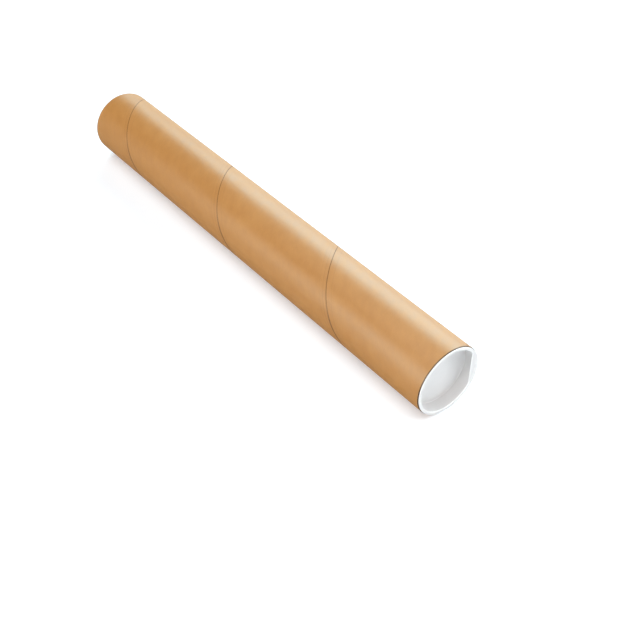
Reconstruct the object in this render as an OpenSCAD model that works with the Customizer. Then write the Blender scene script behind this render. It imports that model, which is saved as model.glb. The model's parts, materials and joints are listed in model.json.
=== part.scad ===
// Spiral-wound kraft drawing tube with a plastic plug cap in each end.
// The tube lies along X on the plane z = 0, with its middle over the origin.

/* [Tube] */
// Length of the paper tube
tube_len = 609.6; // [300:0.1:1200]
// Inside diameter of the tube
bore_d = 76.2; // [50:0.1:150]
// Thickness of the kraft wrap and of the kraft liner
kraft_t = 0.2; // [0.1:0.05:0.4]
// Thickness of one chipboard core ply
core_t = 0.35; // [0.2:0.05:0.8]

/* [Winding] */
// Length along the tube of one turn of every strip
winding_pitch = 197.2; // [150:0.1:300]
// Gap between the butted edges of a strip
seam_gap = 0.5; // [0.3:0.1:1]
// Place along the tube where the outer seam crosses the +Y side
outer_seam_x = 76.2; // [-100:0.1:100]
// Distance along the tube from each ply's seam to the seam of the ply over it
seam_stagger = 5.5; // [3:0.5:30]

/* [Cap] */
// Height of a cap along its axis
cap_h = 16; // [15:0.5:25]
// Radial clearance from the ribs to the bore
rib_clearance = 0.05; // [0.01:0.01:0.1]
// How far the flange stays inside the tube's outside radius
flange_inset = 0.6; // [0.3:0.1:1]
// How far short of the tube's end the flange stops
flange_gap = 0.5; // [0.1:0.1:1]
// Thickness of the flange at the mouth
flange_t = 1.2; // [0.8:0.1:2]
// Thickness of the cap's floor
floor_t = 2; // [1.2:0.1:2.5]
// Thickness of the cap's side wall at the mouth
wall_t = 1.6; // [1:0.1:2]
// How much narrower the side wall is at the closed end than at the mouth
wall_taper = 1; // [0.5:0.1:1.2]
// Number of ribs round the side wall
rib_count = 3; // [1:1:3]
// Distance from the closed end to the first rib
first_rib = 4.2; // [2.4:0.1:4.5]
// Distance between ribs
rib_pitch = 3.5; // [2.4:0.1:3.6]

/* [Pull tab] */
// Distance from the cap's axis to the tab's straight edge
tab_edge = 29.5; // [25:0.5:32]
// Thickness of the tab
tab_t = 1.1; // [0.8:0.1:2]
// Turn of the right cap's tab from the +Y side
right_tab_turn = 0; // [0:5:360]
// Turn of the left cap's tab from the +Y side
left_tab_turn = 205; // [0:5:360]

/* [Hidden] */

$fn = 180;
bore_r = bore_d / 2;
core_count = 4;
tube_r = bore_r + 2 * kraft_t + core_count * core_t;
// Margin by which a cutter runs past what it cuts
past = 1;

// The kerf between a strip's edges is a chain of flat cutters along the helix.
// Two of them meet on the -Z side, where each cylinder's own seam line lies.
kerfs_per_turn = 22;
kerf_step = 360 / kerfs_per_turn;
kerf_start = -90 + kerf_step / 2;
kerf_overlap = 0.6;

// Cap radii, from the bore outwards and inwards
rib_r = bore_r - rib_clearance;
rib_round = 0.7;
skirt_r = rib_r - 0.45;
skirt_end_r = skirt_r - wall_taper;
end_round = 1.2;
mouth_r = skirt_r - wall_t;
cup_floor_r = mouth_r - wall_taper;
cup_round = 1.5;
flange_r = tube_r - flange_inset;

kraft_colour = [0.78, 0.60, 0.40];
liner_colour = [0.56, 0.37, 0.21];
chipboard_colour = [0.42, 0.30, 0.18];
cap_colour = [0.93, 0.93, 0.92];

// Flat cutters along a helix, which part the strip's butted edges
module seam_kerf(inner_r, outer_r, seam_x) {
    lead = atan(winding_pitch / (2 * PI * outer_r));
    low = inner_r * cos(kerf_step) - past;
    high = outer_r + past;
    reach = 2 * PI * outer_r * kerf_step / 360 / cos(lead) + kerf_overlap;
    left_turn = (-tube_len / 2 - seam_x) / winding_pitch * 360;
    right_turn = (tube_len / 2 - seam_x) / winding_pitch * 360;
    first = floor((left_turn - kerf_start) / kerf_step) - 1;
    last = ceil((right_turn - kerf_start) / kerf_step) + 1;
    for (k = [first : last]) {
        turn = kerf_start + k * kerf_step;
        rotate([turn, 0, 0])
            translate([seam_x + winding_pitch * turn / 360, (low + high) / 2, 0])
                rotate([0, lead, 0])
                    cube([seam_gap, high - low, reach], center = true);
    }
}

// One ply: a strip wound into a tube, with its edges butted along the helix
module ply(inner_r, thickness, depth) {
    outer_r = inner_r + thickness;
    translate([0, 0, tube_r])
        difference() {
            rotate([0, 90, 0])
                cylinder(r = outer_r, h = tube_len, center = true);
            rotate([0, 90, 0])
                cylinder(r = inner_r, h = tube_len + 2 * past, center = true);
            seam_kerf(inner_r, outer_r, outer_seam_x - depth * seam_stagger);
        }
}

module outer_wrap() {
    color(kraft_colour)
        ply(tube_r - kraft_t, kraft_t, 0);
}

// The chipboard plies are numbered outwards from the liner
module wall_ply(number) {
    color(chipboard_colour)
        ply(bore_r + kraft_t + (number - 1) * core_t, core_t, core_count + 1 - number);
}

module inner_liner() {
    color(liner_colour)
        ply(bore_r, kraft_t, core_count + 1);
}

// Half section of the cap's outside, closed end at y = 0
module cap_outside() {
    polygon([
        [0, 0],
        [skirt_end_r - end_round, 0],
        [skirt_end_r, end_round],
        [skirt_r, cap_h - flange_t],
        [skirt_r, cap_h],
        [0, cap_h]
    ]);
    translate([skirt_end_r - end_round, end_round])
        circle(r = end_round);
    for (k = [0 : rib_count - 1])
        translate([rib_r - rib_round, first_rib + k * rib_pitch]) {
            circle(r = rib_round);
            translate([-wall_t, -rib_round])
                square([wall_t, 2 * rib_round]);
        }
    translate([mouth_r, cap_h - flange_t])
        square([flange_r - flange_t / 2 - mouth_r, flange_t]);
    translate([flange_r - flange_t / 2, cap_h - flange_t / 2])
        circle(r = flange_t / 2);
}

// Half section of the hollow that opens at the mouth
module cap_hollow() {
    polygon([
        [0, floor_t],
        [cup_floor_r - cup_round, floor_t],
        [cup_floor_r, floor_t + cup_round],
        [mouth_r, cap_h],
        [mouth_r, cap_h + past],
        [0, cap_h + past]
    ]);
    intersection() {
        translate([cup_floor_r - cup_round, floor_t + cup_round])
            circle(r = cup_round);
        square([cup_floor_r, cap_h]);
    }
}

// Web across one side of the mouth, flush with the flange, that a fingertip pulls
module pull_tab() {
    translate([0, 0, cap_h - tab_t])
        intersection() {
            cylinder(r = mouth_r + wall_t / 2, h = tab_t);
            translate([-bore_r, tab_edge, -past])
                cube([2 * bore_r, bore_r, tab_t + 2 * past]);
        }
}

// One cap, mouth up, tab towards +Y
module cap() {
    color(cap_colour)
        union() {
            rotate_extrude()
                difference() {
                    cap_outside();
                    cap_hollow();
                }
            pull_tab();
        }
}

module right_end_cap() {
    translate([tube_len / 2 + flange_gap + flange_t - cap_h, 0, tube_r])
        rotate([right_tab_turn, 0, 0])
            rotate([0, 90, 0])
                cap();
}

module left_end_cap() {
    mirror([1, 0, 0])
        translate([tube_len / 2 + flange_gap + flange_t - cap_h, 0, tube_r])
            rotate([left_tab_turn, 0, 0])
                rotate([0, 90, 0])
                    cap();
}

outer_wrap();
wall_ply(4);  // wall_ply_4
wall_ply(3);  // wall_ply_3
wall_ply(2);  // wall_ply_2
wall_ply(1);  // wall_ply_1
inner_liner();
right_end_cap();
left_end_cap();
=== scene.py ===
"""Looks for a spiral-wound kraft drawing tube with a plastic plug cap in each end. Units are metres."""

import json
import math

import bmesh
import bpy
from mathutils import Matrix, Vector


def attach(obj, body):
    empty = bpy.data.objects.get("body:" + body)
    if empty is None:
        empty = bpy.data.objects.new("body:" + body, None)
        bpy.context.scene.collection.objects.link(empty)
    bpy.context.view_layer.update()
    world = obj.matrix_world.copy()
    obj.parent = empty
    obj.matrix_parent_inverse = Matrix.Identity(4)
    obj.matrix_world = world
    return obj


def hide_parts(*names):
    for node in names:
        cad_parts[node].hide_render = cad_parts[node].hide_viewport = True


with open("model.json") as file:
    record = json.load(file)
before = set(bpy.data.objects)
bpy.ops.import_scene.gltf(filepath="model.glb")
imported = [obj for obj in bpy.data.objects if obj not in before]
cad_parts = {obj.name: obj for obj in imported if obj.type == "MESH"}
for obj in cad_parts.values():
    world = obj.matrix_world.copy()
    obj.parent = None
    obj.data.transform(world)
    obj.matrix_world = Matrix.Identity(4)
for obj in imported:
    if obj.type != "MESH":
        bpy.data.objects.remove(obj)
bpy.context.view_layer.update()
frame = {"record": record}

MM = 0.001
TURN = 2 * math.pi

# ---------------------------------------------------------------- sizes from the frame

mounts = {m["name"]: m for m in frame["record"]["mounts"]}
TUBE_R = mounts["tube_outside"]["dims"]["r_mm"] * MM
HALF_LEN = mounts["tube_outside"]["dims"]["length_mm"] * MM / 2
MOUTH_X = mounts["right_cap_face"]["pos_m"][0]

# ---------------------------------------------------------------- sizes of the paper tube

# As in the CAD model
BORE_R = 38.1 * MM
KRAFT_T = 0.2 * MM
PLY_COUNT = 4
PLY_T = (TUBE_R - BORE_R - 2 * KRAFT_T) / PLY_COUNT
WINDING_PITCH = 197.2 * MM
OUTER_SEAM_X = 76.2 * MM
SEAM_STAGGER = 5.5 * MM
SEAM_GAP = 0.5 * MM
LEAD = math.atan2(WINDING_PITCH, TURN * TUBE_R)

# A low ridge in the wrap lies this far along the tube from its seam
RIDGE = 8.5 * MM
# Above this height the paper's edges get the least painted shade
LEAST_SHADE_Z = 1.65 * TUBE_R
# Rows of points in one turn of a strip
KRAFT_ROWS = 128
BOARD_ROWS = 96

# ---------------------------------------------------------------- sizes of the caps

# As in the CAD model: radii from the axis and heights from the closed end
CAP_H = 16 * MM
FLANGE_R = TUBE_R - 0.6 * MM
FLANGE_T = 1.2 * MM
FLOOR_T = 2 * MM
RIB_R = BORE_R - 0.05 * MM
SKIRT_R = RIB_R - 0.45 * MM
WALL_T = 1.6 * MM
WALL_TAPER = 1 * MM
MOUTH_R = SKIRT_R - WALL_T
RIB_HEIGHTS = [(4.2 + 3.5 * k) * MM for k in range(3)]
END_ROUND = 1.2 * MM
CUP_ROUND = 1.5 * MM
TAB_T = 1.1 * MM
RIGHT_TAB_TURN = 0
LEFT_TAB_TURN = math.radians(205)

# The looks' own edges, which are softer than the CAD model's
TAB_EDGE = 29.3 * MM
TAB_CORNER = 0.5 * MM
# Further round than this from the tab's middle, the mouth is plain
TAB_REACH = math.radians(70)
LIP_ROUND = 0.5 * MM
LIP_BEAD = 0.06 * MM
FLANGE_ROUND = 0.45 * MM
FLANGE_FILLET = 0.3 * MM
RIB_ROUND = 0.62 * MM

CAP_SEGMENTS = 288
# Faces that meet at less than this are shaded as one smooth surface
SMOOTH_BELOW = math.radians(40)


# ---------------------------------------------------------------- node helpers

def new_material(name):
    """A material with its Principled shader, and a function that adds nodes to it."""
    material = bpy.data.materials.new(name)
    material.use_nodes = True
    tree = material.node_tree
    shader = tree.nodes["Principled BSDF"]

    def add(kind, **settings):
        node = tree.nodes.new(kind)
        for key, value in settings.items():
            if key in node.inputs:
                node.inputs[key].default_value = value
            else:
                setattr(node, key, value)
        return node

    return material, tree.links.new, shader, add


def calculate(add, link, operation, *values):
    """The result of a math node on sockets or numbers."""
    node = add("ShaderNodeMath", operation=operation)
    for socket, value in zip(node.inputs, values):
        if isinstance(value, (int, float)):
            socket.default_value = value
        else:
            link(value, socket)
    return node.outputs[0]


def parts_of(add, link, vector):
    """A vector's X, Y and Z sockets, by name."""
    node = add("ShaderNodeSeparateXYZ")
    link(vector, node.inputs[0])
    return node.outputs


def object_place(add):
    """The place on the object, in its own axes and in metres."""
    return add("ShaderNodeTexCoord").outputs["Object"]


def stored(add, name):
    """The node of a value or vector that the mesh holds at its points."""
    return add("ShaderNodeAttribute", attribute_type="GEOMETRY", attribute_name=name)


def stretched(add, link, vector, scale):
    """The vector scaled by a different amount along each axis."""
    node = add("ShaderNodeMapping", vector_type="POINT")
    node.inputs["Scale"].default_value = scale
    link(vector, node.inputs["Vector"])
    return node.outputs["Vector"]


def noise(add, link, vector, scale, detail=4.0, roughness=0.55):
    """A noise texture's factor on a vector in metres, with one scale or one for each axis."""
    if isinstance(scale, tuple):
        vector = stretched(add, link, vector, scale)
        scale = 1.0
    node = add("ShaderNodeTexNoise", Scale=scale, Detail=detail, Roughness=roughness)
    link(vector, node.inputs["Vector"])
    return node.outputs["Fac"]


def remap(add, link, value, low, high, to_low, to_high):
    """A value's range mapped to another, clamped."""
    node = add("ShaderNodeMapRange")
    node.inputs["From Min"].default_value = low
    node.inputs["From Max"].default_value = high
    node.inputs["To Min"].default_value = to_low
    node.inputs["To Max"].default_value = to_high
    link(value, node.inputs["Value"])
    return node.outputs["Result"]


def blend_colours(add, link, factor, first, second):
    """Mixes two colours, each a socket or an RGB triple, by a factor's socket."""
    node = add("ShaderNodeMix", data_type="RGBA")
    for socket, value in ((node.inputs[6], first), (node.inputs[7], second)):
        if isinstance(value, tuple):
            socket.default_value = (*value, 1)
        else:
            link(value, socket)
    link(factor, node.inputs[0])
    return node.outputs[2]


def bump(add, link, shader, height, distance, strength):
    """Adds a bump of this height to the shader's normal, after any bump already there."""
    node = add("ShaderNodeBump", Strength=strength, Distance=distance)
    link(height, node.inputs["Height"])
    if shader.inputs["Normal"].is_linked:
        link(shader.inputs["Normal"].links[0].from_socket, node.inputs["Normal"])
    link(node.outputs["Normal"], shader.inputs["Normal"])


# ---------------------------------------------------------------- materials

# Linear colours, most of them a dark and a light one that a material varies between
OUTSIDE_DARK = (0.430, 0.172, 0.026)
OUTSIDE_LIGHT = (0.540, 0.240, 0.050)
INSIDE_DARK = (0.25, 0.095, 0.022)
INSIDE_LIGHT = (0.36, 0.15, 0.042)
# Partly the paper's darker cut edge, partly painted shade in and beside the seam
SEAM_EDGE_AND_SHADE = (0.17, 0.045, 0.001)
# Partly the paper's darker sawn edge, partly painted shade in the gap under the caps' flanges
SAWN_EDGE_AND_GAP_SHADE = (0.07, 0.026, 0.004)
# Chipboard painted darker than it is, as shade in the seams and in the gap under the caps' flanges
SHADED_BOARD_DARK = (0.075, 0.031, 0.006)
SHADED_BOARD_LIGHT = (0.15, 0.068, 0.018)
SHADED_BOARD_FLECK = (0.24, 0.13, 0.055)
PLASTIC_DARK = (0.805, 0.785, 0.78)
PLASTIC_LIGHT = (0.84, 0.82, 0.812)
# Painted shade for the inside of the cap's side wall and its tab, and a painted highlight for its lip
PLASTIC_SHADE = (0.66, 0.645, 0.64)
PLASTIC_HIGHLIGHT = (0.93, 0.93, 0.925)

# Painted light on the plastic: painted shade towards 1 on the inside of the side wall and on the tab, and a
# painted highlight towards -1 on the lip
WALL_SHADE = 1
TAB_SHADE = 0.4
LIP_HIGHLIGHT = -1

def shade_low_down(add, link, top):
    """How much painted shade the paper's edges get: 1 from the tube's middle height down, and top near its
    top.
    """
    height = parts_of(add, link, object_place(add))["Z"]
    return remap(add, link, height, TUBE_R, LEAST_SHADE_Z, 1, top)


def strip_marks_and_shade(add, link, winding, patches):
    """How dark a strip is: darker at its cut edges, with painted shade along its seam that is strongest low
    on the tube, and faint darker lines over the seams beneath and the ridge.
    """
    across = parts_of(add, link, winding)["Y"]
    width = WINDING_PITCH * math.cos(LEAD)
    stagger = SEAM_STAGGER * math.cos(LEAD)
    ridge = RIDGE * math.cos(LEAD)
    marks = []
    # Middle and half width of each line, its darkness, and how much of it is kept near the tube's top,
    # where the painted shade is least
    for middle, half, depth, top in (
        (0, 1.1 * MM, 0.9, 0.6),
        (width, 1.1 * MM, 0.9, 0.6),
        # These two wider lines are painted shade beside the seam, low on the tube only
        (0, 1.8 * MM, 1.3, 0),
        (width, 1.8 * MM, 1.3, 0),
        (ridge, 0.6 * MM, 0.3, 0.45),
        (width - stagger, 0.7 * MM, 0.35, 0.45),
        (width - 2 * stagger, 0.7 * MM, 0.2, 0.45),
    ):
        away = calculate(add, link, "ABSOLUTE", calculate(add, link, "SUBTRACT", across, middle))
        line = remap(add, link, away, 0, half, depth, 0)
        marks.append(calculate(add, link, "MULTIPLY", line, shade_low_down(add, link, top)))
    darkest = marks[0]
    for mark in marks[1:]:
        darkest = calculate(add, link, "MAXIMUM", darkest, mark)
    return calculate(add, link, "MULTIPLY", darkest, remap(add, link, patches, 0.35, 0.6, 0.75, 1))


def sawn_end_and_gap_shade(add, link):
    """How dark the paper is at both ends of the tube: partly its darker sawn edge, partly painted shade of
    the gap under the caps' flanges, with more of it low on the tube.
    """
    along = parts_of(add, link, object_place(add))["X"]
    from_middle = calculate(add, link, "ABSOLUTE", along)
    cut = remap(add, link, from_middle, HALF_LEN - 0.8 * MM, HALF_LEN - 0.3 * MM, 0, 0.95)
    return calculate(add, link, "MULTIPLY", cut, shade_low_down(add, link, 0.4))


def kraft_material(name, dark, light, roughness):
    """Kraft paper: fibres along the strip, cloudy formation, small specks and a calendered surface."""
    material, link, shader, add = new_material(name)
    winding = stored(add, "winding").outputs["Vector"]
    fibres = noise(add, link, winding, (260, 1500, 1), detail=5)
    cloud = noise(add, link, winding, (70, 120, 1), detail=6, roughness=0.62)
    broad = noise(add, link, winding, (9, 16, 1), detail=3)
    specks = noise(add, link, winding, (500, 900, 1), detail=2)
    patches = noise(add, link, winding, (25, 25, 1))

    clouded = remap(add, link, cloud, 0.25, 0.75, 0, 0.6)
    grain = calculate(add, link, "MULTIPLY_ADD", fibres, 0.45, clouded)
    tone = calculate(add, link, "ADD", grain, remap(add, link, broad, 0.3, 0.7, -0.2, 0.04))
    colour = blend_colours(add, link, tone, dark, light)
    speck_colour = tuple(0.45 * c for c in dark)
    colour = blend_colours(add, link, remap(add, link, specks, 0.7, 0.78, 0, 0.35), colour, speck_colour)
    marks = strip_marks_and_shade(add, link, winding, patches)
    # Painted shade along the seams, over the paper's darker cut edges
    colour = blend_colours(add, link, marks, colour, SEAM_EDGE_AND_SHADE)
    # Painted shade of the gap under the flange, over the darker sawn edge
    colour = blend_colours(add, link, sawn_end_and_gap_shade(add, link), colour, SAWN_EDGE_AND_GAP_SHADE)
    link(colour, shader.inputs["Base Color"])

    gloss = remap(add, link, cloud, 0.3, 0.7, roughness - 0.05, roughness + 0.06)
    link(gloss, shader.inputs["Roughness"])
    shader.inputs["Specular IOR Level"].default_value = 1.0
    shader.inputs["IOR"].default_value = 1.6
    shader.inputs["Specular Tint"].default_value = (0.62, 0.97, 1.0, 1)
    bump(add, link, shader, fibres, 0.03 * MM, 0.6)
    bump(add, link, shader, cloud, 0.12 * MM, 0.5)
    return material


def chipboard_material(name):
    """Chipboard: recycled board with short mixed fibres, painted darker than grey-brown board is, as shade
    in the seams and in the gap under the caps' flanges.
    """
    material, link, shader, add = new_material(name)
    place = object_place(add)
    grain = noise(add, link, place, 2600, detail=6, roughness=0.7)
    flock = noise(add, link, place, 420)
    mottle = remap(add, link, flock, 0.3, 0.7, 0, 1)
    board = blend_colours(add, link, mottle, SHADED_BOARD_DARK, SHADED_BOARD_LIGHT)
    flecks = remap(add, link, grain, 0.58, 0.72, 0, 0.55)
    flecked = blend_colours(add, link, flecks, board, SHADED_BOARD_FLECK)
    link(flecked, shader.inputs["Base Color"])
    shader.inputs["Roughness"].default_value = 0.9
    shader.inputs["Specular IOR Level"].default_value = 0.25
    bump(add, link, shader, grain, 0.08 * MM, 0.8)
    return material


def cap_material(name):
    """White low-density polyethylene: slightly translucent, satin, with faint flow marks."""
    material, link, shader, add = new_material(name)
    place = object_place(add)
    flow = noise(add, link, place, 45, detail=3)
    fine = noise(add, link, place, 900)
    marbling = remap(add, link, flow, 0.3, 0.7, 0, 1)
    colour = blend_colours(add, link, marbling, PLASTIC_DARK, PLASTIC_LIGHT)
    # Painted shade darkens the inside of the side wall and the tab, and a painted highlight lightens the
    # rounded lip
    tone = stored(add, "tone").outputs["Fac"]
    painted_shade = remap(add, link, tone, 0, WALL_SHADE, 0, 1)
    colour = blend_colours(add, link, painted_shade, colour, PLASTIC_SHADE)
    painted_highlight = remap(add, link, tone, 0, LIP_HIGHLIGHT, 0, 1)
    colour = blend_colours(add, link, painted_highlight, colour, PLASTIC_HIGHLIGHT)
    link(colour, shader.inputs["Base Color"])
    link(remap(add, link, fine, 0.3, 0.7, 0.30, 0.42), shader.inputs["Roughness"])
    shader.inputs["IOR"].default_value = 1.51
    shader.inputs["Subsurface Weight"].default_value = 0.25
    shader.inputs["Subsurface Radius"].default_value = (1.0, 0.95, 0.9)
    shader.inputs["Subsurface Scale"].default_value = 2 * MM
    bump(add, link, shader, flow, 0.10 * MM, 0.5)
    bump(add, link, shader, fine, 0.01 * MM, 0.5)
    return material


def floor_material(name):
    """A pale studio floor, lit a little from below like a light table, and more so away from the middle."""
    material, link, shader, add = new_material(name)
    shader.inputs["Base Color"].default_value = (0.72, 0.76, 0.78, 1)
    shader.inputs["Roughness"].default_value = 0.9
    shader.inputs["Specular IOR Level"].default_value = 0.1
    shader.inputs["Emission Color"].default_value = (0.89, 0.92, 1, 1)
    away = add("ShaderNodeVectorMath", operation="LENGTH")
    link(object_place(add), away.inputs[0])
    link(remap(add, link, away.outputs["Value"], 0.8, 3.0, 0.39, 1.1), shader.inputs["Emission Strength"])
    return material


def backdrop_material(name):
    """The studio's plain pale surroundings."""
    material, _, shader, _ = new_material(name)
    shader.inputs["Base Color"].default_value = (0, 0, 0, 1)
    shader.inputs["Specular IOR Level"].default_value = 0
    shader.inputs["Emission Color"].default_value = (1, 1, 1, 1)
    shader.inputs["Emission Strength"].default_value = 1
    return material


# ---------------------------------------------------------------- meshes

def new_object(name, mesh, material):
    """Turns a mesh into an object of this material in the scene."""
    data = bpy.data.meshes.new(name)
    mesh.to_mesh(data)
    mesh.free()
    data.materials.append(material)
    thing = bpy.data.objects.new(name, data)
    bpy.context.scene.collection.objects.link(thing)
    return thing


def finished_piece(name, mesh, material, body):
    """Turns a mesh into a smooth-shaded piece that rides on a body."""
    piece = new_object(name, mesh, material)
    piece.data.shade_smooth()
    piece.data.set_sharp_from_angle(angle=SMOOTH_BELOW)
    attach(piece, body)
    return piece


def spread(start, end, count):
    """Places from the start to the end, in this many equal steps."""
    return [start + (end - start) * k / count for k in range(count + 1)]


# ---------------------------------------------------------------- the paper tube

def bell(t, width):
    """1 at t = 0, falling smoothly to almost nothing at twice the width."""
    return math.exp(-((t / width) ** 2))


def outer_relief(x, angle, seam_x):
    """How far the wrap's outside lies below its full radius."""
    # Distance along the tube from the nearest seam on the -X side
    s = (x - seam_x - WINDING_PITCH * angle / TURN) % WINDING_PITCH
    from_edge = min(s, WINDING_PITCH - s) - SEAM_GAP / 2
    rounding = 0.09 * MM * max(0.0, 1 - from_edge / (0.5 * MM)) ** 2
    dip = 0.07 * MM * bell(s - (WINDING_PITCH - SEAM_STAGGER), 0.7 * MM)
    second_dip = 0.04 * MM * bell(s - (WINDING_PITCH - 2 * SEAM_STAGGER), 1.0 * MM)
    ridge = 0.04 * MM * (1 - bell(s - RIDGE, 1.1 * MM))
    sway = 0.03 * MM * (1 + math.sin(2 * angle + 31 * x))
    burr = 0.07 * MM * max(0.0, 1 - (HALF_LEN - abs(x)) / (0.7 * MM)) ** 2
    return rounding + dip + second_dip + ridge + sway + burr


def strip_columns(fine):
    """Places across a strip, from one butted edge to the other, closer together where it has relief."""
    low = SEAM_GAP / 2
    high = WINDING_PITCH - SEAM_GAP / 2
    if not fine:
        return spread(low, high, 12)
    dip = WINDING_PITCH - SEAM_STAGGER
    second_dip = WINDING_PITCH - 2 * SEAM_STAGGER
    places = [low + d * MM for d in (0, 0.12, 0.3, 0.5, 1.0, 2.0, 4.0)]
    places += spread(RIDGE - 2 * MM, RIDGE + 2 * MM, 8)
    places += spread(16 * MM, WINDING_PITCH - 18 * MM, 20)
    places += spread(second_dip - 2.5 * MM, second_dip + 2.5 * MM, 8)
    places += spread(dip - 2 * MM, dip + 2 * MM, 10)
    places += [high - d * MM for d in (2.0, 1.0, 0.5, 0.3, 0.12, 0)]
    return places


def overlong_strip(mesh, inner_r, outer_r, seam_x, columns, steps):
    """A closed strip wound along a helix with this many rows a turn, past both ends of the tube."""
    pad = 2 * MM
    first = math.floor((-HALF_LEN - pad - columns[-1] - seam_x) / WINDING_PITCH * steps)
    last = math.ceil((HALF_LEN + pad - columns[0] - seam_x) / WINDING_PITCH * steps)
    winding = mesh.verts.layers.float_vector.new("winding")
    rows = []
    for k in range(first, last + 1):
        angle = TURN * k / steps
        sides = []
        for r in (outer_r, inner_r):
            side = []
            for s in columns:
                x = seam_x + WINDING_PITCH * k / steps + s
                vert = mesh.verts.new((x, r * math.cos(angle), TUBE_R + r * math.sin(angle)))
                along = TUBE_R * angle * math.cos(LEAD) + x * math.sin(LEAD)
                across = s * math.cos(LEAD)
                vert[winding] = (along, across, r)
                side.append(vert)
            sides.append(side)
        # Once round the strip's section: outside, then back along the inside
        rows.append(sides[0] + sides[1][::-1])
    for near, far in zip(rows, rows[1:]):
        for j in range(len(near)):
            i = (j + 1) % len(near)
            mesh.faces.new((near[j], near[i], far[i], far[j]))
    mesh.faces.new(rows[0][::-1])
    mesh.faces.new(rows[-1])


def cut_square(mesh, distance, remove):
    """Cuts the mesh across at this distance on both sides of its middle, and may remove what is past it."""
    for side in (-1, 1):
        bmesh.ops.bisect_plane(
            mesh,
            geom=mesh.verts[:] + mesh.edges[:] + mesh.faces[:],
            dist=1e-7,
            plane_co=(side * distance, 0, 0),
            plane_no=(side, 0, 0),
            clear_outer=remove,
        )


def in_order(rim):
    """A rim's points in order round the tube, from pairs of an angle and a point."""
    return [vert for _, vert in sorted(rim, key=lambda entry: entry[0])]


def close_ends(mesh, middle_r, seam_x):
    """Closes the square-cut ends with a row of faces between the outside and the inside of the ply."""
    for side in (-1, 1):
        seam_angle = TURN * (side * HALF_LEN - seam_x) / WINDING_PITCH
        outside = []
        inside = []
        for vert in mesh.verts:
            if abs(vert.co.x - side * HALF_LEN) < 1e-6:
                y, z = vert.co.y, vert.co.z - TUBE_R
                from_seam = (math.atan2(z, y) - seam_angle) % TURN
                rim = outside if math.hypot(y, z) > middle_r else inside
                rim.append((from_seam, vert))
        outside = in_order(outside)
        inside = in_order(inside)
        for a, b, c, d in zip(outside, outside[1:], inside[1:], inside):
            mesh.faces.new((a, b, c, d))


def sink_relief(mesh, middle_r, seam_x):
    """Lowers the outside of the wrap by its relief."""
    for vert in mesh.verts:
        y, z = vert.co.y, vert.co.z - TUBE_R
        r = math.hypot(y, z)
        if r > middle_r:
            less = outer_relief(vert.co.x, math.atan2(z, y), seam_x)
            vert.co.y = y * (r - less) / r
            vert.co.z = TUBE_R + z * (r - less) / r


def wound_strip(name, inner_r, outer_r, seam_x, material, steps, fine=False):
    """A strip of paper wound into a tube, its edges butted along a helix, and cut square at both ends.

    steps is the number of rows of points in one turn. Only a fine strip has relief.
    """
    mesh = bmesh.new()
    overlong_strip(mesh, inner_r, outer_r, seam_x, strip_columns(fine), steps)
    cut_square(mesh, HALF_LEN, remove=True)
    if fine:
        for inset in (0.15, 0.35, 0.7):
            cut_square(mesh, HALF_LEN - inset * MM, remove=False)
    middle_r = (inner_r + outer_r) / 2
    close_ends(mesh, middle_r, seam_x)
    if fine:
        sink_relief(mesh, middle_r, seam_x)
    bmesh.ops.recalc_face_normals(mesh, faces=mesh.faces[:])
    return finished_piece(name, mesh, material, "tube")


# ---------------------------------------------------------------- the caps

def arc(centre_r, centre_z, radius, start, end, count=6):
    """Points (r, z) along an arc, angles in degrees from +r towards +z."""
    points = []
    for k in range(count + 1):
        a = math.radians(start + (end - start) * k / count)
        points.append((centre_r + radius * math.cos(a), centre_z + radius * math.sin(a)))
    return points


def skirt_r(z):
    """Outside radius of the tapered side wall at a height."""
    return SKIRT_R - WALL_TAPER * (1 - z / (CAP_H - FLANGE_T))


def cup_r(z):
    """Inside radius of the side wall at a height."""
    return MOUTH_R - WALL_TAPER * (1 - (z - FLOOR_T) / (CAP_H - FLOOR_T))


def lip_r(turn, tab_turn):
    """Radius of the mouth's inner edge, which follows the tab's straight edge across one side."""
    away = (turn - tab_turn + math.pi) % TURN - math.pi
    round_lip = cup_r(CAP_H - TAB_T) - LIP_BEAD
    if abs(away) > TAB_REACH:
        return round_lip
    straight = TAB_EDGE / math.cos(away)
    # A smooth minimum of the two, so that the tab's corners are rounded
    return round_lip - TAB_CORNER * math.log1p(math.exp((round_lip - straight) / TAB_CORNER))


def closed_end_section():
    """Points (r, z) from the middle of the closed end to the foot of the side wall."""
    points = [(r * MM, 0) for r in (0, 0.8, 6, 14, 22, 29, 34)]
    points += arc(skirt_r(0) - END_ROUND, END_ROUND, END_ROUND, -90, 0)
    return points


def rib_section(z):
    """Points (r, z) up the side wall over the rib at this height."""
    foot = 0.95 * MM
    shoulder = 0.72 * MM
    shoulder_r = skirt_r(z) + 0.10 * MM
    points = [(skirt_r(z - foot), z - foot), (shoulder_r, z - shoulder)]
    points += arc(RIB_R - RIB_ROUND, z, RIB_ROUND, -62, 62)
    points += [(shoulder_r, z + shoulder), (skirt_r(z + foot), z + foot)]
    return points


def flange_section():
    """Points (r, z) from the side wall out and round the flange to its top."""
    under = CAP_H - FLANGE_T
    below = under - 1.2 * MM
    edge_r = FLANGE_R - FLANGE_ROUND
    points = [(skirt_r(below), below)]
    points += arc(skirt_r(under) + FLANGE_FILLET, under - FLANGE_FILLET, FLANGE_FILLET, 180, 90, 4)
    points += arc(edge_r, under + FLANGE_ROUND, FLANGE_ROUND, -90, 0, 4)
    points += arc(edge_r, CAP_H - FLANGE_ROUND, FLANGE_ROUND, 0, 90, 4)
    points.append((FLANGE_R - 1.6 * MM, CAP_H))
    return points


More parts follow.
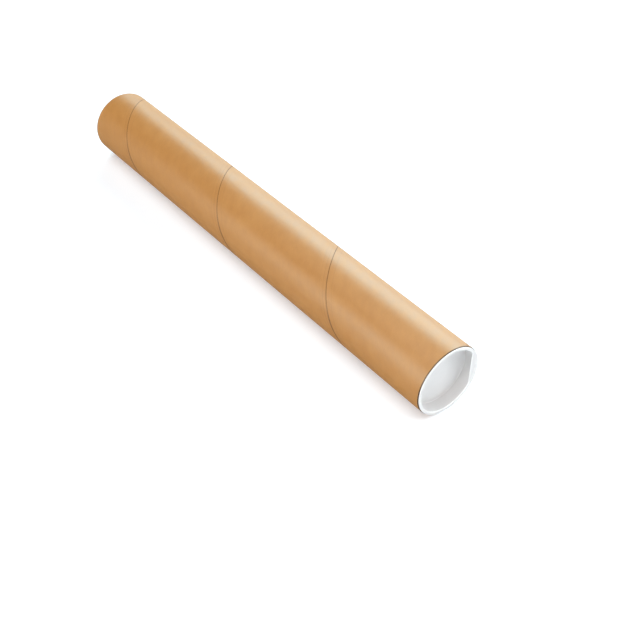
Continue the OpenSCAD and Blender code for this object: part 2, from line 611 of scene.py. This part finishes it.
def mouth_section(lip):
    """Points (r, z) across the tab, where there is one, and down the rounded edge of the opening."""
    reach = MOUTH_R - lip
    start = lip + LIP_ROUND + 0.3 * MM
    plate = min(0.25 * MM, reach * 0.1)
    # The tab's plate lies a little lower than its rounded edge
    points = [
        (start + reach * f, CAP_H - plate * low)
        for f, low in ((1, 0), (0.85, 1), (0.5, 1), (0.2, 0.9), (0.1, 0.3))
    ]
    points += arc(lip + LIP_ROUND, CAP_H - LIP_ROUND, LIP_ROUND, 90, 180, 5)
    points.append((lip, CAP_H - LIP_ROUND - 0.15 * MM))
    return points


def tab_underside(lip):
    """Points (r, z) from the edge of the opening back under the tab to the side wall."""
    under = CAP_H - TAB_T
    wall = cup_r(under)
    reach = wall - lip
    edge = min(LIP_ROUND, reach * 0.4)
    fillet = min(0.5 * MM, reach / 3)
    points = arc(lip + edge, under + edge, edge, 180, 270, 4)
    points.append((lip + reach * 0.55, under))
    for a in (0, 0.8, math.pi / 2):
        points.append((wall - fillet + fillet * math.sin(a), under - fillet * (1 - math.cos(a))))
    return points


def cup_section():
    """Points (r, z) down the inside of the side wall to the middle of the floor."""
    foot = FLOOR_T + CUP_ROUND
    points = [(cup_r(z * MM), z * MM) for z in (11.8, 8.8, 6.0)]
    points += arc(cup_r(foot) - CUP_ROUND, foot, CUP_ROUND, 0, -90, 7)
    points += [(r * MM, FLOOR_T) for r in (31, 26, 20, 13, 6, 0.8, 0)]
    return points


def cap_section(lip):
    """Points (r, z) round the cap's section, from the middle of the closed end to that of the floor."""
    points = closed_end_section()
    for z in RIB_HEIGHTS:
        points += rib_section(z)
    return points + flange_section() + mouth_section(lip) + tab_underside(lip) + cup_section()


def plastic_shade_and_highlight(r, z, lip):
    """The painted shade of the side wall's inside and of the tab, the painted highlight of the mouth's
    rounded lip, and 0 elsewhere.
    """
    at_mouth = z > CAP_H - 0.8 * MM
    if FLOOR_T + 0.8 * MM < z < CAP_H - TAB_T and r < MOUTH_R:
        return WALL_SHADE
    if at_mouth and r < lip + 0.4 * MM:
        return LIP_HIGHLIGHT
    if at_mouth and lip + 0.6 * MM < r < MOUTH_R - 0.2 * MM:
        return TAB_SHADE
    return 0


def plug_cap(name, side, tab_turn, material, body):
    """One moulded cap. side is 1 at the +X end and -1 at the -X end."""
    mesh = bmesh.new()
    # The painted shade and highlight at each point, which the cap's material reads
    tone = mesh.verts.layers.float.new("tone")
    rings = []
    for k in range(CAP_SEGMENTS):
        turn = TURN * k / CAP_SEGMENTS
        lip = lip_r(turn, tab_turn)
        ring = []
        for r, z in cap_section(lip):
            x = side * (MOUTH_X - CAP_H + z)
            vert = mesh.verts.new((x, r * math.cos(turn), TUBE_R + r * math.sin(turn)))
            vert[tone] = plastic_shade_and_highlight(r, z, lip)
            ring.append(vert)
        rings.append(ring)
    for a, b in zip(rings, rings[1:] + rings[:1]):
        for j in range(len(a) - 1):
            corners = (a[j], b[j], b[j + 1], a[j + 1])
            mesh.faces.new(corners if side > 0 else corners[::-1])
    # The points in the middle of the closed end and of the floor become one point each
    for j in (0, -1):
        bmesh.ops.remove_doubles(mesh, verts=[ring[j] for ring in rings], dist=1e-6)
    return finished_piece(name, mesh, material, body)


# ---------------------------------------------------------------- build the object

kraft_outside = kraft_material("kraft_outside", OUTSIDE_DARK, OUTSIDE_LIGHT, roughness=0.46)
kraft_inside = kraft_material("kraft_inside", INSIDE_DARK, INSIDE_LIGHT, roughness=0.7)
chipboard = chipboard_material("chipboard")
cap_plastic = cap_material("cap_plastic")

wrap_r = TUBE_R - KRAFT_T
wrap = wound_strip("kraft_wrap", wrap_r, TUBE_R, OUTER_SEAM_X, kraft_outside, KRAFT_ROWS, fine=True)
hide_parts("outer_wrap")

for number in range(1, PLY_COUNT + 1):
    inner = BORE_R + KRAFT_T + (number - 1) * PLY_T
    seam = OUTER_SEAM_X - (PLY_COUNT + 1 - number) * SEAM_STAGGER
    ply = wound_strip(f"board_strip_{number}", inner, inner + PLY_T, seam, chipboard, BOARD_ROWS)
    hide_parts(f"wall_ply_{number}")

liner_seam = OUTER_SEAM_X - (PLY_COUNT + 1) * SEAM_STAGGER
liner = wound_strip("kraft_liner", BORE_R, BORE_R + KRAFT_T, liner_seam, kraft_inside, KRAFT_ROWS)
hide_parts("inner_liner")

right_cap = plug_cap("right_plug_cap", 1, RIGHT_TAB_TURN, cap_plastic, "right_cap")
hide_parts("right_end_cap")
left_cap = plug_cap("left_plug_cap", -1, LEFT_TAB_TURN, cap_plastic, "left_cap")
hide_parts("left_end_cap")


# ---------------------------------------------------------------- floor, lights and camera

STUDIO_R = 8.0
PLAIN = (1, 1, 1)
COOL = (0.81, 1.02, 1.06)
WARM = (1, 0.985, 0.94)

# Name, place, width, height, power in watts and colour of each light
SOFTBOXES = (
    ("back_low", (0, 1.95, 0.42), 4.0, 0.4, 13, COOL),
    ("back_high", (-0.6, 1.52, 1.25), 3.0, 1.1, 39, COOL),
    ("top", (0, -0.5, 1.95), 3.0, 1.2, 10, PLAIN),
    ("near_high", (0.7, -0.68, 1.88), 1.6, 1.0, 21, PLAIN),
    ("front_low", (0, -1.94, 0.62), 3.0, 1.15, 27, WARM),
    ("near_end", (1.3, 0.9, 0.9), 0.8, 0.8, 6, PLAIN),
)


def staged(name, mesh, material):
    """Turns a mesh into part of the studio, which isn't part of the object."""
    stage = new_object(name, mesh, material)
    # The paper's sheen shows the soft surroundings and not the glowing studio
    stage.visible_glossy = False
    return stage


def studio_floor():
    """A square floor under the tube."""
    mesh = bmesh.new()
    bmesh.ops.create_grid(mesh, x_segments=8, y_segments=8, size=STUDIO_R)
    staged("studio_floor", mesh, floor_material("studio_floor"))


def studio_backdrop():
    """A pale dome that only the camera sees, so that it casts no light of its own."""
    mesh = bmesh.new()
    bmesh.ops.create_uvsphere(mesh, u_segments=48, v_segments=24, radius=STUDIO_R)
    backdrop = staged("studio_backdrop", mesh, backdrop_material("studio_backdrop"))
    backdrop.visible_diffuse = False
    backdrop.visible_shadow = False
    backdrop.visible_transmission = False


def softbox(name, place, width, height, power, colour):
    """A rectangular area light at a place, turned towards the middle of the tube."""
    data = bpy.data.lights.new(name, "AREA")
    data.shape = "RECTANGLE"
    data.size = width
    data.size_y = height
    data.energy = power
    data.color = colour
    light = bpy.data.objects.new(name, data)
    light.location = place
    towards = Vector((0, 0, TUBE_R)) - Vector(place)
    light.rotation_euler = towards.to_track_quat("-Z", "Y").to_euler()
    bpy.context.scene.collection.objects.link(light)


def studio_world():
    """Plain white surroundings that are bright behind the tube and dim in front of it."""
    world = bpy.data.worlds.new("studio")
    world.use_nodes = True
    nodes, link = world.node_tree.nodes, world.node_tree.links.new
    background = nodes["Background"]
    background.inputs["Color"].default_value = (1, 1, 1, 1)
    direction = nodes.new("ShaderNodeSeparateXYZ")
    link(nodes.new("ShaderNodeTexCoord").outputs["Generated"], direction.inputs[0])
    # Y is the sine of how far a direction is turned towards the back
    rearward = nodes.new("ShaderNodeMapRange")
    rearward.interpolation_type = "SMOOTHSTEP"
    rearward.inputs["From Min"].default_value = 0.2
    rearward.inputs["From Max"].default_value = 0.9
    rearward.inputs["To Min"].default_value = 0.1
    rearward.inputs["To Max"].default_value = 0.9
    link(direction.outputs["Y"], rearward.inputs["Value"])
    link(rearward.outputs["Result"], background.inputs["Strength"])
    bpy.context.scene.world = world


def studio_camera():
    """A camera above the near end, looking down along the tube, level but for a small roll."""
    azimuth = math.radians(50.747)
    elevation = math.radians(41.172)
    roll = math.radians(1.026)
    place = (HALF_LEN + 0.4936, -0.5652, 0.76225)
    forward = Vector((
        -math.sin(azimuth) * math.cos(elevation),
        math.cos(azimuth) * math.cos(elevation),
        -math.sin(elevation),
    ))
    level = Vector((math.cos(azimuth), math.sin(azimuth), 0))
    upright = level.cross(forward)
    right = math.cos(roll) * level + math.sin(roll) * upright
    up = math.cos(roll) * upright - math.sin(roll) * level
    data = bpy.data.cameras.new("camera")
    data.sensor_width = 36
    data.lens = 59.74
    data.clip_start = 0.01
    data.clip_end = 100
    camera = bpy.data.objects.new("camera", data)
    turn = Matrix((right, up, -forward)).transposed().to_4x4()
    camera.matrix_world = Matrix.Translation(place) @ turn
    bpy.context.scene.collection.objects.link(camera)
    bpy.context.scene.camera = camera


studio_floor()
studio_backdrop()
for light in SOFTBOXES:
    softbox(*light)
studio_world()
studio_camera()
bpy.context.scene.view_settings.view_transform = "Standard"
